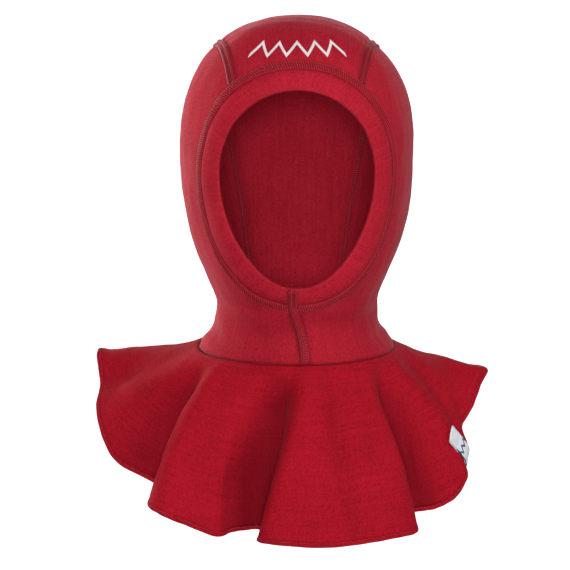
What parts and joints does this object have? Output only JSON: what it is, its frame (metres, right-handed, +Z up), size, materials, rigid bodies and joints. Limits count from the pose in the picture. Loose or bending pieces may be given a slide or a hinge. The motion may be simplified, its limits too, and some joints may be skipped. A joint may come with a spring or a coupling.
{
  "type": "child's knitted hood with round collar",
  "caption": "Close-fitting knitted hood for the head and neck, with an egg-shaped face opening and a fluted round collar over shoulders and chest.",
  "frame": {"origin": "where the top of the wearer's head bears on the inside of the crown", "axes": "+Z up, -Y out of the face opening, +X to the wearer's left"},
  "size_m": [0.2568, 0.1992, 0.3284],
  "materials": {
    "knit_red": "matt fine double knit with a soft fuzz",
    "thread_red": "matt sewing thread",
    "print_silver": "thin satin transfer print",
    "label_white": "woven satin tape"
  },
  "bodies": {
    "hood": {"crown_panel": "knit_red", "side_panel_left": "knit_red", "side_panel_right": "knit_red", "face_band": "knit_red", "crown_seam_left": "thread_red", "crown_seam_right": "thread_red", "face_band_seam": "thread_red", "band_join_seam": "thread_red", "chin_seam": "thread_red", "collar": "knit_red", "neck_seam": "thread_red", "collar_hem": "knit_red", "forehead_print": "print_silver", "label_stitch": "thread_red"},
    "label": {"loop_label": "label_white"}
  },
  "joints": [
    {"name": "label_flap", "type": "hinge", "parent": "hood", "child": "label", "pos_m": [0.11074, -0.0312, -0.28124], "axis": [0.1851, 0.4905, 0.8516], "range_deg": [0, 150]}
  ]
}
